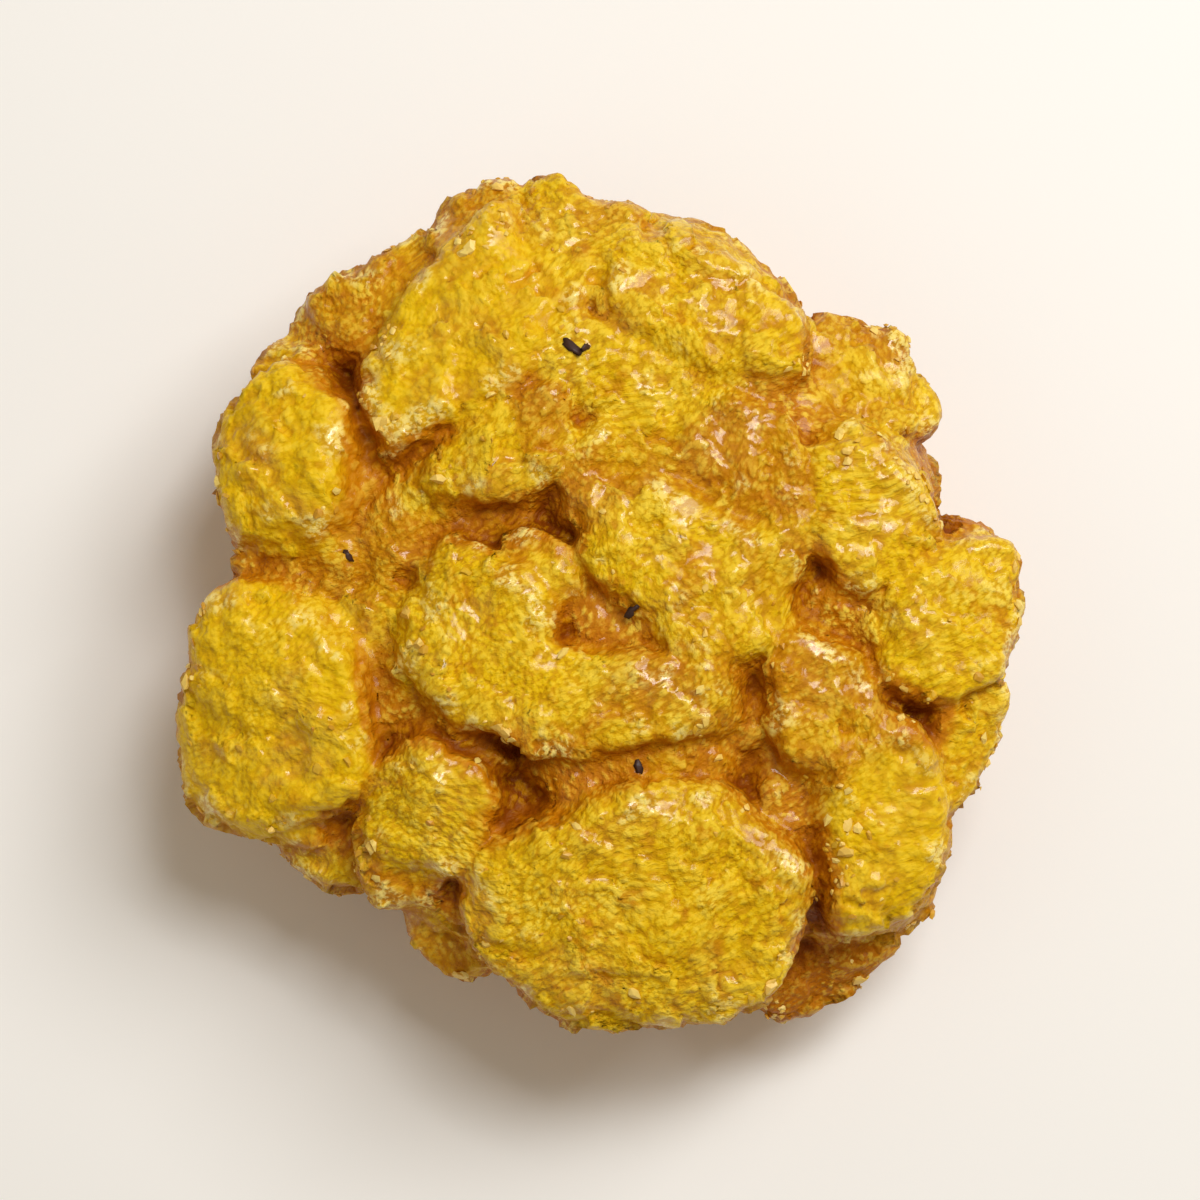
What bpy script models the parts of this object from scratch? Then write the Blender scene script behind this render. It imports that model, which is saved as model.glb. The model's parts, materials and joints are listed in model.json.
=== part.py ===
"""A fried Japanese rice cracker: puffs of dough grown together round a flat core, as one solid.

The puffs of the upper face are placed one by one. Those of the side and of the underside follow
rules, because they only have to carry on what the upper face shows. The underside is a ring of
puffs round a shallow dimple, and the cracker rests on small flat spots of that ring.

Sizes are in millimetres until the mesh is written in metres. +Z is up, and the origin is the
middle of the cracker's outline, on the surface that it rests on.
"""

import math
import random
from dataclasses import dataclass

import bmesh
import bpy
from mathutils import Matrix, Vector, noise

MM = 0.001

BREADTH = 46.0
THICKNESS = 17.0
CORE_THICKNESS = 11.6
CORE_BREADTH = 39.0

CREST_MARGIN = 0.5
DOME_DROP = 4.0
DOME_POWER = 2.4
RIM_LEAN_DEG = 30.0
FOOT_DEPTH = 0.3
DIMPLE_RISE = 1.9

SPREAD = 1.16
UPPER_BOXINESS = 3.2
LOWER_BOXINESS = 2.5
FACETS = 8
FACET_SWING = 0.3
FACET_RISES = (-0.45, 0.55)
FACET_OFFSETS = (0.8, 0.98)
FACET_SHARPNESS = 14.0
TOP_FACET_OFFSET = 0.84
SKIN_LEVELS = 4

WARP_WIDE = (8.0, 0.75)
WARP_FINE = (3.0, 0.32)

VOXEL = 0.5
TRIANGLES = 9000
FLOOR_BLOCK = 80.0
SEED = 20
DRIFT_SEED = 3

# Each puff of the upper face: its name, middle x and y, length, width, turn of its length from +X
# in degrees, and how far its crest stands above the domed upper face.
UPPER_PUFFS = (
    ("upper_left_plateau", -8.4, 13.9, 15.6, 8.8, 60, 0.7),
    ("upper_left_skirt", -12.2, 17.2, 8.8, 5.4, 42, -1.0),
    ("top_dome", -7.4, 20.4, 7.2, 5.2, 20, -0.4),
    ("top_ridge", -2.8, 19.2, 8.8, 6.4, 105, 0.0),
    ("upper_right_sheet", 4.6, 15.6, 14.0, 9.0, -40, 0.4),
    ("upper_middle_sheet", 1.6, 11.2, 15.0, 8.8, -12, -0.2),
    ("left_step", -6.7, 7.3, 10.6, 6.8, 14, 0.2),
    ("left_step_peak", -4.4, 9.6, 4.6, 3.6, 80, 0.4),
    ("middle_step", 0.4, 6.9, 9.0, 6.6, 15, -0.1),
    ("right_crag", 7.2, 7.1, 8.6, 7.2, -60, 0.4),
    ("middle_crag", 3.6, 2.2, 9.8, 7.2, -30, 0.5),
    ("inner_crag", 8.2, 2.6, 7.8, 7.0, 20, 0.1),
    ("lower_crag", 7.2, -1.3, 7.0, 5.0, 40, 0.0),
    ("right_plate", 13.7, 5.0, 10.0, 7.4, -70, 0.4),
    ("back_low", 13.0, 12.0, 8.8, 6.4, -20, -1.8),
    ("back_low_bead", 16.0, 10.7, 4.2, 3.8, 60, -2.4),
    ("right_shoulder", 17.8, -0.8, 11.2, 8.0, 50, 0.3),
    ("right_skirt", 17.8, -8.4, 11.4, 4.6, 78, -1.0),
    ("floor_of_shoulder", 12.8, -1.4, 6.6, 5.6, 40, -1.1),
    ("right_chip", 11.6, -6.6, 10.0, 8.6, -45, 0.5),
    ("right_bar", 14.3, -12.2, 12.4, 7.8, 100, 0.6),
    ("bottom_block", 2.1, -15.9, 19.2, 13.8, -5, 0.7),
    ("boot_heel", -7.4, -2.4, 10.4, 9.6, 85, 0.3),
    ("boot_toe", 0.4, -6.0, 14.0, 6.2, -3, 0.2),
    ("boot_top", -3.6, 1.4, 5.0, 4.4, 85, -0.3),
    ("lower_left_wedge", -10.2, -11.8, 8.8, 7.6, 60, 0.0),
    ("lower_left_foot", -11.2, -15.0, 5.4, 4.2, 20, -0.8),
    ("lower_left_ledge", -14.8, -13.4, 6.0, 5.0, -40, -2.4),
    ("left_block", -17.2, -6.3, 14.0, 11.2, 82, 0.7),
    ("left_gap", -17.0, 1.6, 7.4, 5.0, 0, -1.1),
    ("left_bar", -16.9, 7.8, 12.2, 8.4, 86, 0.6),
    ("left_bar_bead", -17.4, 13.2, 4.0, 3.4, 0, -1.0),
    ("upper_left_low", -14.6, 15.4, 5.8, 5.0, 30, -1.8),
    ("bottom_right_ledge", 11.2, -19.7, 8.6, 4.6, 25, -4.2),
    ("bottom_left_ledge", -8.8, -17.8, 6.6, 5.0, -40, -3.2),
    ("floor_of_upper_left", -12.9, 9.4, 8.4, 4.8, 85, -1.3),
    ("floor_of_left", -12.4, 3.0, 7.0, 5.4, 30, -1.4),
    ("floor_above_boot", -7.2, 3.4, 8.0, 4.4, 5, -1.7),
    ("floor_of_middle", 0.0, 3.0, 6.0, 4.8, 80, -1.2),
    ("floor_of_boot", 1.0, -2.0, 9.0, 5.4, -12, -1.0),
    ("floor_beside_heel", -12.6, -3.4, 9.8, 4.8, 85, -1.2),
    ("floor_below_heel", -9.0, -8.2, 8.0, 4.4, -15, -1.3),
    ("floor_below_toe", 0.6, -9.7, 13.0, 4.6, -2, -0.9),
    ("floor_beside_toe", 7.8, -5.6, 7.0, 4.6, 70, -1.4),
    ("floor_beside_block", 9.4, -12.0, 9.4, 4.6, -70, -1.3),
    ("floor_left_of_block", -6.2, -13.6, 7.6, 4.4, 75, -1.7),
    ("floor_of_plate", 10.6, 9.2, 6.4, 4.4, -50, -1.2),
    ("boot_instep", -3.0, -5.0, 8.4, 6.6, -20, 0.3),
    ("sheet_join", 5.8, 12.2, 10.0, 6.4, -38, -0.2),
    ("sheet_hollow", -1.4, 10.0, 6.0, 5.0, 30, -0.5),
    ("crag_foot", 4.2, -1.2, 7.4, 4.6, -14, 0.1),
)

UPPER_DEPTH_BASE = 2.0
UPPER_DEPTH_SHARE = 0.78
UPPER_DEPTH_LEAST = 5.5

SIDE_PUFFS = 15
SIDE_SIZE = (8.6, 6.8, 8.4)
SIDE_SIZE_RANGE = (0.85, 1.15)
SIDE_HEIGHTS = (7.5, 9.5)
SIDE_SWING = 0.18
SIDE_TUCK = 0.7

# Each ring of the underside: how many puffs, their distance from the middle as a share of the
# outline's reach, their length, width and depth, and how far their crests stay off the floor.
UNDER_RINGS = (
    (13, 0.72, 10.6, 8.4, 8.6, 0.0),
    (8, 0.46, 10.0, 8.4, 7.4, 0.7),
    (3, 0.16, 9.4, 7.8, 6.6, DIMPLE_RISE),
)
UNDER_SIZE_RANGE = (0.88, 1.16)
UNDER_LIFTS = (0.0, 0.5)
UNDER_SWING = 0.25

CRACKER_COLOUR = (0.58, 0.30, 0.013, 1.0)
CRACKER_ROUGHNESS = 0.5


@dataclass
class Puff:
    """One puff of dough: a soft lump with flat places, given by its middle, sizes and turns.

    Those of the upper face are boxier than the others, and flat on top.
    """

    middle: Vector
    size: Vector
    turn: float = 0.0
    lean: float = 0.0
    lean_towards: float = 0.0
    upper: bool = False

    def facets(self, draw):
        """Flat places as directions with their distance from the middle of a unit ball."""
        found = []
        if self.upper:
            found.append((Vector((0, 0, 1)), TOP_FACET_OFFSET))
        start = draw.uniform(0, math.tau)
        for number in range(FACETS):
            swing = draw.uniform(-FACET_SWING, FACET_SWING)
            around = start + math.tau * (number + swing) / FACETS
            rise = draw.uniform(*FACET_RISES)
            direction = Vector((math.cos(around), math.sin(around), rise)).normalized()
            found.append((direction, draw.uniform(*FACET_OFFSETS)))
        return found

    def matrix(self):
        """Places the unit ball: sized, turned, leant over and moved to the middle."""
        lean_axis = Vector((-math.sin(self.lean_towards), math.cos(self.lean_towards), 0))
        return (
            Matrix.Translation(self.middle)
            @ Matrix.Rotation(self.lean, 4, lean_axis)
            @ Matrix.Rotation(self.turn, 4, "Z")
            @ Matrix.Diagonal((*(self.size / 2), 1))
        )


def skin_distance(direction, boxiness, facets):
    """How far a boxy unit ball with soft flat places reaches in one direction."""
    boxy = sum(abs(part) ** boxiness for part in direction) ** (1 / boxiness)
    total = boxy**FACET_SHARPNESS
    for normal, offset in facets:
        facing = direction.dot(normal) / offset
        if facing > 0:
            total += facing**FACET_SHARPNESS
    return total ** (-1 / FACET_SHARPNESS)


def warped(point):
    """Dough never sets evenly: a wide and a fine drift that all puffs share."""
    moved = point.copy()
    for spacing, amount in (WARP_WIDE, WARP_FINE):
        moved += amount * noise.noise_vector(point / spacing)
    return moved


def reach(around, puffs):
    """How far the upper puffs reach from the middle in one direction, taken as ellipses."""
    farthest = CORE_BREADTH / 2
    for puff in puffs:
        turned = around - puff.turn
        half_length, half_width = puff.size.x / 2, puff.size.y / 2
        along = math.hypot(half_length * math.cos(turned), half_width * math.sin(turned))
        centre = Vector((puff.middle.x, puff.middle.y))
        heading = Vector((math.cos(around), math.sin(around)))
        aside = abs(centre.x * heading.y - centre.y * heading.x)
        if aside < along:
            farthest = max(farthest, centre.dot(heading) + math.sqrt(along**2 - aside**2))
    return farthest


def upper_puffs():
    """The puffs of the upper face, leaning outwards towards the rim as the face domes."""
    puffs = []
    for _, x, y, length, width, turn, rise in UPPER_PUFFS:
        out = math.hypot(x, y) / (BREADTH / 2)
        depth = max(UPPER_DEPTH_LEAST, UPPER_DEPTH_BASE + UPPER_DEPTH_SHARE * width)
        crest = THICKNESS - CREST_MARGIN - DOME_DROP * out**DOME_POWER + rise
        middle = Vector((x, y, crest - depth * TOP_FACET_OFFSET / 2))
        lean = math.radians(RIM_LEAN_DEG) * out**2
        size = Vector((SPREAD * length, SPREAD * width, depth))
        puffs.append(Puff(middle, size, math.radians(turn), lean, math.atan2(y, x), upper=True))
    return puffs


def side_puffs(upper, draw):
    """A belt of puffs at half height, tucked in just under the rim of the upper ones."""
    puffs = []
    for number in range(SIDE_PUFFS):
        around = math.tau * (number + draw.uniform(-SIDE_SWING, SIDE_SWING)) / SIDE_PUFFS
        size = Vector(SIDE_SIZE) * draw.uniform(*SIDE_SIZE_RANGE)
        out = reach(around, upper) - SIDE_TUCK - size.y / 2
        height = draw.uniform(*SIDE_HEIGHTS)
        middle = Vector((out * math.cos(around), out * math.sin(around), height))
        puffs.append(Puff(middle, size, around + math.pi / 2))
    return puffs


def under_puffs(upper, draw):
    """Rings of puffs on the underside, the outer ring lowest, so that it is what rests."""
    puffs = []
    for count, share, length, width, depth, off_floor in UNDER_RINGS:
        for number in range(count):
            around = math.tau * (number + draw.uniform(-UNDER_SWING, UNDER_SWING)) / count
            out = share * reach(around, upper)
            size = Vector((length, width, depth)) * draw.uniform(*UNDER_SIZE_RANGE)
            foot = off_floor - FOOT_DEPTH + draw.uniform(*UNDER_LIFTS)
            middle = Vector((out * math.cos(around), out * math.sin(around), foot + size.z / 2))
            puffs.append(Puff(middle, size, draw.uniform(0, math.pi)))
    return puffs


def core_puff():
    """The flat middle that all puffs stand on, and the floor of the creases between them."""
    size = Vector((CORE_BREADTH, CORE_BREADTH, CORE_THICKNESS))
    return Puff(Vector((0, 0, THICKNESS / 2)), size, upper=True)


def add_puff(mesh, puff, draw):
    """Adds one puff to the mesh as a closed lump."""
    facets = puff.facets(draw)
    boxiness = UPPER_BOXINESS if puff.upper else LOWER_BOXINESS
    placed = puff.matrix()
    ball = bmesh.ops.create_icosphere(mesh, subdivisions=SKIN_LEVELS, radius=1.0)
    for vertex in ball["verts"]:
        direction = vertex.co.normalized()
        vertex.co = warped(placed @ (direction * skin_distance(direction, boxiness, facets)))


def lumps_mesh():
    """All puffs, still overlapping, in one mesh in metres."""
    draw = random.Random(SEED)
    upper = upper_puffs()
    puffs = [core_puff(), *upper, *side_puffs(upper, draw), *under_puffs(upper, draw)]
    mesh = bmesh.new()
    for number, puff in enumerate(puffs):
        add_puff(mesh, puff, random.Random(SEED + number))
    mesh.transform(Matrix.Scale(MM, 4))
    data = bpy.data.meshes.new("lumps")
    mesh.to_mesh(data)
    mesh.free()
    return data


def with_modifiers_applied(obj):
    """The object's mesh as its modifiers leave it."""
    bpy.context.view_layer.update()
    graph = bpy.context.evaluated_depsgraph_get()
    return bpy.data.meshes.new_from_object(obj.evaluated_get(graph))


def grow_together(obj):
    """Fuses the overlapping puffs into one skin, softens the creases and thins the triangles."""
    fuse = obj.modifiers.new("fuse", "REMESH")
    fuse.mode = "VOXEL"
    fuse.voxel_size = VOXEL * MM
    soften = obj.modifiers.new("soften", "SMOOTH")
    soften.factor = 0.5
    soften.iterations = 2
    obj.data = with_modifiers_applied(obj)
    obj.modifiers.clear()
    thin = obj.modifiers.new("thin", "DECIMATE")
    thin.ratio = TRIANGLES / (2 * len(obj.data.polygons))
    obj.data = with_modifiers_applied(obj)
    obj.modifiers.clear()


def set_to_size(mesh):
    """Scales the cracker to its breadth along X and puts the middle of its outline on the origin."""
    low, high = (
        Vector([pick(vertex.co[axis] for vertex in mesh.vertices) for axis in range(3)])
        for pick in (min, max)
    )
    middle = (low + high) / 2
    mesh.transform(Matrix.Translation((-middle.x, -middle.y, 0)))
    mesh.transform(Matrix.Scale(BREADTH * MM / (high.x - low.x), 4))


def floor_cutter():
    """A block with its top at the floor, which cuts the lowest puffs to small flat spots."""
    mesh = bmesh.new()
    bmesh.ops.create_cube(mesh, size=FLOOR_BLOCK * MM)
    mesh.transform(Matrix.Translation((0, 0, -FLOOR_BLOCK / 2 * MM)))
    data = bpy.data.meshes.new("floor_cutter")
    mesh.to_mesh(data)
    mesh.free()
    cutter = bpy.data.objects.new("floor_cutter", data)
    bpy.context.scene.collection.objects.link(cutter)
    cutter.hide_render = True
    cutter.display_type = "WIRE"
    return cutter


def dough_material():
    """Golden fried dough."""
    material = bpy.data.materials.new("fried_dough")
    material.use_nodes = True
    shader = material.node_tree.nodes["Principled BSDF"]
    shader.inputs["Base Color"].default_value = CRACKER_COLOUR
    shader.inputs["Roughness"].default_value = CRACKER_ROUGHNESS
    shader.inputs["Metallic"].default_value = 0.0
    return material


def build_cracker():
    """The whole cracker: puffs fused, set to size, and cut flat where they rest."""
    cracker = bpy.data.objects.new("cracker", lumps_mesh())
    bpy.context.scene.collection.objects.link(cracker)
    grow_together(cracker)
    set_to_size(cracker.data)
    cracker.data.shade_smooth()
    cracker.data.materials.append(dough_material())
    flatten = cracker.modifiers.new("rest_flat", "BOOLEAN")
    flatten.operation = "DIFFERENCE"
    flatten.object = floor_cutter()
    return cracker


def main():
    """Clears the scene and builds the cracker, with the dough's drift the same in each run."""
    for obj in list(bpy.data.objects):
        bpy.data.objects.remove(obj)
    noise.seed_set(DRIFT_SEED)
    build_cracker()


main()
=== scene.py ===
"""A fried Japanese rice cracker, dressed for the studio.

One fine skin stands for the model's solid and keeps its form: puffs of dough grown together round
a flat core. The puffs carry crags, wrinkles and blisters, while the creases between them stay
smooth and orange-brown: the glazing's own colour with painted shade, darkest in the deepest
creases. Painted shade also lies on the flanks of the puffs and, with toasted crust, low on the
sides, and painted cream glints lie on the rims. Pale crumbs cling to the rims of the puffs, and a
few burnt specks lie between them.

Lengths are in millimetres, except where a name says metres.
"""

import json
import logging
import math
import random
from collections.abc import Mapping, Sequence
from dataclasses import dataclass, field
from enum import Enum

import bpy
import numpy as np
from mathutils import Matrix, Vector, noise
from mathutils.bvhtree import BVHTree

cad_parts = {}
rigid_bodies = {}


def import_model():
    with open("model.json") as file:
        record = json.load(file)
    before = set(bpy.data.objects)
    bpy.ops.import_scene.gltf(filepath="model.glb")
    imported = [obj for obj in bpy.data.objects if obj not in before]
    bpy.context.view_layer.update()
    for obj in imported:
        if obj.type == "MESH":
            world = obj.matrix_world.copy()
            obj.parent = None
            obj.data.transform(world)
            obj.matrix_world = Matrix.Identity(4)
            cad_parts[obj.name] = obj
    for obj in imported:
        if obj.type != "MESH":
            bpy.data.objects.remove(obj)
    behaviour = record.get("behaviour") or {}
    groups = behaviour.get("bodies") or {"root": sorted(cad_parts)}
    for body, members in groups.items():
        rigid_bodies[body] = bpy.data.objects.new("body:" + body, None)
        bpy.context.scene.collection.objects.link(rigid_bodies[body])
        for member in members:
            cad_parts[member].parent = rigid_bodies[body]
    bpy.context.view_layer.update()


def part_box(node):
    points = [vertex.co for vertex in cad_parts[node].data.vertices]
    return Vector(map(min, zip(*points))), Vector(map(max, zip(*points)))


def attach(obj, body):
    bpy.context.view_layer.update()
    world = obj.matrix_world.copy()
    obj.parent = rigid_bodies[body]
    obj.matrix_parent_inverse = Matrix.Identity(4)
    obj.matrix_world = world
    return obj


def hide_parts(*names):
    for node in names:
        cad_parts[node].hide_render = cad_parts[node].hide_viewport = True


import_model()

LOG = logging.getLogger("rice_cracker")
MM = 0.001
NODE = "cracker"
BODY = "root"

# Where a Mix node for colours has its factor, its two colours and its result.
MIX_FACTOR, MIX_FIRST, MIX_SECOND, MIX_RESULT = 0, 6, 7, 2

Colour = tuple[float, float, float, float]
Range = tuple[float, float]
Step = tuple[float, ...]
Socket = bpy.types.NodeSocket

# Each puff of the upper face: its name, middle x and y, length, width, turn of its length from +X
# in degrees, and how far its crest stands above the domed upper face.
UPPER_PUFFS = (
    ("upper_left_plateau", -8.4, 13.9, 15.6, 8.8, 60, 0.7),
    ("upper_left_skirt", -12.2, 17.2, 8.8, 5.4, 42, -1.0),
    ("top_dome", -7.4, 20.4, 7.2, 5.2, 20, -0.4),
    ("top_ridge", -2.8, 19.2, 8.8, 6.4, 105, 0.0),
    ("upper_right_sheet", 4.6, 15.6, 14.0, 9.0, -40, 0.4),
    ("upper_middle_sheet", 1.6, 11.2, 15.0, 8.8, -12, -0.2),
    ("left_step", -6.7, 7.3, 10.6, 6.8, 14, 0.2),
    ("left_step_peak", -4.4, 9.6, 4.6, 3.6, 80, 0.4),
    ("middle_step", 0.4, 6.9, 9.0, 6.6, 15, -0.1),
    ("right_crag", 7.2, 7.1, 8.6, 7.2, -60, 0.4),
    ("middle_crag", 3.6, 2.2, 9.8, 7.2, -30, 0.5),
    ("inner_crag", 8.2, 2.6, 7.8, 7.0, 20, 0.1),
    ("lower_crag", 7.2, -1.3, 7.0, 5.0, 40, 0.0),
    ("right_plate", 13.7, 5.0, 10.0, 7.4, -70, 0.4),
    ("back_low", 13.0, 12.0, 8.8, 6.4, -20, -1.8),
    ("back_low_bead", 16.0, 10.7, 4.2, 3.8, 60, -2.4),
    ("right_shoulder", 17.8, -0.8, 11.2, 8.0, 50, 0.3),
    ("right_skirt", 17.8, -8.4, 11.4, 4.6, 78, -1.0),
    ("floor_of_shoulder", 12.8, -1.4, 6.6, 5.6, 40, -1.1),
    ("right_chip", 11.6, -6.6, 10.0, 8.6, -45, 0.5),
    ("right_bar", 14.3, -12.2, 12.4, 7.8, 100, 0.6),
    ("bottom_block", 2.1, -15.9, 19.2, 13.8, -5, 0.7),
    ("boot_heel", -7.4, -2.4, 10.4, 9.6, 85, 0.3),
    ("boot_toe", 0.4, -6.0, 14.0, 6.2, -3, 0.2),
    ("boot_top", -3.6, 1.4, 5.0, 4.4, 85, -0.3),
    ("lower_left_wedge", -10.2, -11.8, 8.8, 7.6, 60, 0.0),
    ("lower_left_foot", -11.2, -15.0, 5.4, 4.2, 20, -0.8),
    ("lower_left_ledge", -14.8, -13.4, 6.0, 5.0, -40, -2.4),
    ("left_block", -17.2, -6.3, 14.0, 11.2, 82, 0.7),
    ("left_gap", -17.0, 1.6, 7.4, 5.0, 0, -1.1),
    ("left_bar", -16.9, 7.8, 12.2, 8.4, 86, 0.6),
    ("left_bar_bead", -17.4, 13.2, 4.0, 3.4, 0, -1.0),
    ("upper_left_low", -14.6, 15.4, 5.8, 5.0, 30, -1.8),
    ("bottom_right_ledge", 11.2, -19.7, 8.6, 4.6, 25, -4.2),
    ("bottom_left_ledge", -8.8, -17.8, 6.6, 5.0, -40, -3.2),
    ("floor_of_upper_left", -12.9, 9.4, 8.4, 4.8, 85, -1.3),
    ("floor_of_left", -12.4, 3.0, 7.0, 5.4, 30, -1.4),
    ("floor_above_boot", -7.2, 3.4, 8.0, 4.4, 5, -1.7),
    ("floor_of_middle", 0.0, 3.0, 6.0, 4.8, 80, -1.2),
    ("floor_of_boot", 1.0, -2.0, 9.0, 5.4, -12, -1.0),
    ("floor_beside_heel", -12.6, -3.4, 9.8, 4.8, 85, -1.2),
    ("floor_below_heel", -9.0, -8.2, 8.0, 4.4, -15, -1.3),
    ("floor_below_toe", 0.6, -9.7, 13.0, 4.6, -2, -0.9),
    ("floor_beside_toe", 7.8, -5.6, 7.0, 4.6, 70, -1.4),
    ("floor_beside_block", 9.4, -12.0, 9.4, 4.6, -70, -1.3),
    ("floor_left_of_block", -6.2, -13.6, 7.6, 4.4, 75, -1.7),
    ("floor_of_plate", 10.6, 9.2, 6.4, 4.4, -50, -1.2),
    ("boot_instep", -3.0, -5.0, 8.4, 6.6, -20, 0.3),
    ("sheet_join", 5.8, 12.2, 10.0, 6.4, -38, -0.2),
    ("sheet_hollow", -1.4, 10.0, 6.0, 5.0, 30, -0.5),
    ("crag_foot", 4.2, -1.2, 7.4, 4.6, -14, 0.1),
)

# The puffs that came out brightest, and those that stretched smooth instead of gritty.
BRIGHT_PUFFS = ("upper_left_plateau", "top_ridge", "upper_right_sheet", "left_step", "bottom_block",
                "boot_heel", "left_block", "left_bar", "right_plate", "right_shoulder")
SMOOTH_PUFFS = ("upper_left_plateau", "left_bar", "left_block", "right_bar")

# Each ring of the underside: how many puffs, their distance from the middle as a share of the
# outline's reach, their length, width and depth, and how far their crests stay off the floor.
UNDER_RINGS = (
    (13, 0.72, 10.6, 8.4, 8.6, 0.0),
    (8, 0.46, 10.0, 8.4, 7.4, 0.7),
    (3, 0.16, 9.4, 7.8, 6.6, 1.9),
)

# The burnt specks of the upper face: x, y, length, width and turn in degrees.
BURNT_SPECKS = (
    (-1.3, 13.3, 1.35, 0.6, -30),
    (-0.7, 13.0, 0.7, 0.4, -60),
    (-13.4, 2.0, 0.8, 0.4, 35),
    (2.0, -9.5, 0.75, 0.5, 30),
    (1.6, -1.3, 0.9, 0.5, 80),
)


def srgb(red: int, green: int, blue: int) -> Colour:
    """The linear colour of an 8-bit screen colour."""
    parts = [part / 255 for part in (red, green, blue)]
    linear = [part / 12.92 if part < 0.04045 else ((part + 0.055) / 1.055) ** 2.4 for part in parts]
    return (linear[0], linear[1], linear[2], 1.0)


def smoothstep(low: float, high: float, values: np.ndarray) -> np.ndarray:
    """A soft step from 0 at low to 1 at high."""
    share = np.clip((values - low) / (high - low), 0.0, 1.0)
    return share * share * (3.0 - 2.0 * share)


def mesh_from_arrays(name: str, points: np.ndarray, triangles: np.ndarray) -> bpy.types.Mesh:
    """Makes a smooth-shaded mesh from plain arrays.

    Args:
        name: The mesh's name.
        points: One row of x, y and z for each point, in millimetres.
        triangles: One row of three point numbers for each triangle.

    Returns:
        The mesh, in metres.
    """
    mesh = bpy.data.meshes.new(name)
    mesh.vertices.add(len(points))
    mesh.vertices.foreach_set("co", (points * MM).astype(np.float32).ravel())
    mesh.loops.add(3 * len(triangles))
    mesh.loops.foreach_set("vertex_index", triangles.astype(np.int32).ravel())
    mesh.polygons.add(len(triangles))
    mesh.polygons.foreach_set("loop_start", np.arange(0, 3 * len(triangles), 3, dtype=np.int32))
    mesh.update(calc_edges=True)
    mesh.validate()
    mesh.shade_smooth()
    return mesh


def mesh_arrays(mesh: bpy.types.Mesh) -> tuple[np.ndarray, np.ndarray]:
    """A triangle mesh's points and triangles, as rows of three."""
    points = np.empty(3 * len(mesh.vertices), dtype=np.float32)
    mesh.vertices.foreach_get("co", points)
    triangles = np.empty(3 * len(mesh.polygons), dtype=np.int32)
    mesh.polygons.foreach_get("vertices", triangles)
    return points.reshape(-1, 3).astype(float), triangles.reshape(-1, 3)


def store(mesh: bpy.types.Mesh, name: str, values: np.ndarray) -> None:
    """Stores one number on each point of a mesh."""
    layer = mesh.attributes.new(name, "FLOAT", "POINT")
    layer.data.foreach_set("value", values.astype(np.float32))


def put_in_scene(name: str, data: bpy.types.ID) -> bpy.types.Object:
    """Makes an object with that data and puts it in the scene."""
    obj = bpy.data.objects.new(name, data)
    bpy.context.scene.collection.objects.link(obj)
    return obj


def polar(around: float, out: float, height: float) -> Vector:
    """A place given by its direction from the upright axis, its distance from it and its height."""
    return Vector((out * math.cos(around), out * math.sin(around), height))


def unit_ball(levels: int) -> tuple[np.ndarray, np.ndarray]:
    """An icosphere of radius 1 as points and triangles."""
    before = set(bpy.data.objects)
    bpy.ops.mesh.primitive_ico_sphere_add(subdivisions=levels, radius=1.0)
    ball = (set(bpy.data.objects) - before).pop()
    mesh = ball.data
    points, triangles = mesh_arrays(mesh)
    bpy.data.objects.remove(ball)
    bpy.data.meshes.remove(mesh)
    return points / np.linalg.norm(points, axis=1)[:, None], triangles


class Signal:
    """A number that varies over a surface, and takes part in Python arithmetic."""

    def __init__(self, graph: "ShaderGraph", socket: Socket) -> None:
        """Wraps one output socket of a graph."""
        self.graph = graph
        self.socket = socket

    def _math(self, operation: str, *values: "Signal | float") -> "Signal":
        """Adds a Math node on the given values."""
        sockets = dict(enumerate(values))
        made = self.graph.node("ShaderNodeMath", {"operation": operation}, sockets)
        return self.graph.signal(made, "Value")

    def __add__(self, other: "Signal | float") -> "Signal":
        """The sum."""
        return self._math("ADD", self, other)

    __radd__ = __add__

    def __sub__(self, other: "Signal | float") -> "Signal":
        """The difference."""
        return self._math("SUBTRACT", self, other)

    def __rsub__(self, other: "Signal | float") -> "Signal":
        """The difference from a plain number."""
        return self._math("SUBTRACT", other, self)

    def __mul__(self, other: "Signal | float") -> "Signal":
        """The product."""
        return self._math("MULTIPLY", self, other)

    __rmul__ = __mul__

    def blended(self, other: "Signal", share: float) -> "Signal":
        """The sum of the two, with that share of it from the other one."""
        return self * (1.0 - share) + other * share

    def left(self, share: float) -> "Signal":
        """What is left of 1 where the signal takes up to that share away."""
        return 1.0 - self * share

    def step(self, low: float, high: float, most: float = 1.0) -> "Signal":
        """A soft step from 0 at low to the most at high."""
        sockets = {"Value": self, "From Min": low, "From Max": high, "To Max": most}
        settings = {"interpolation_type": "SMOOTHSTEP"}
        return self.graph.signal(self.graph.node("ShaderNodeMapRange", settings, sockets), "Result")


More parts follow.
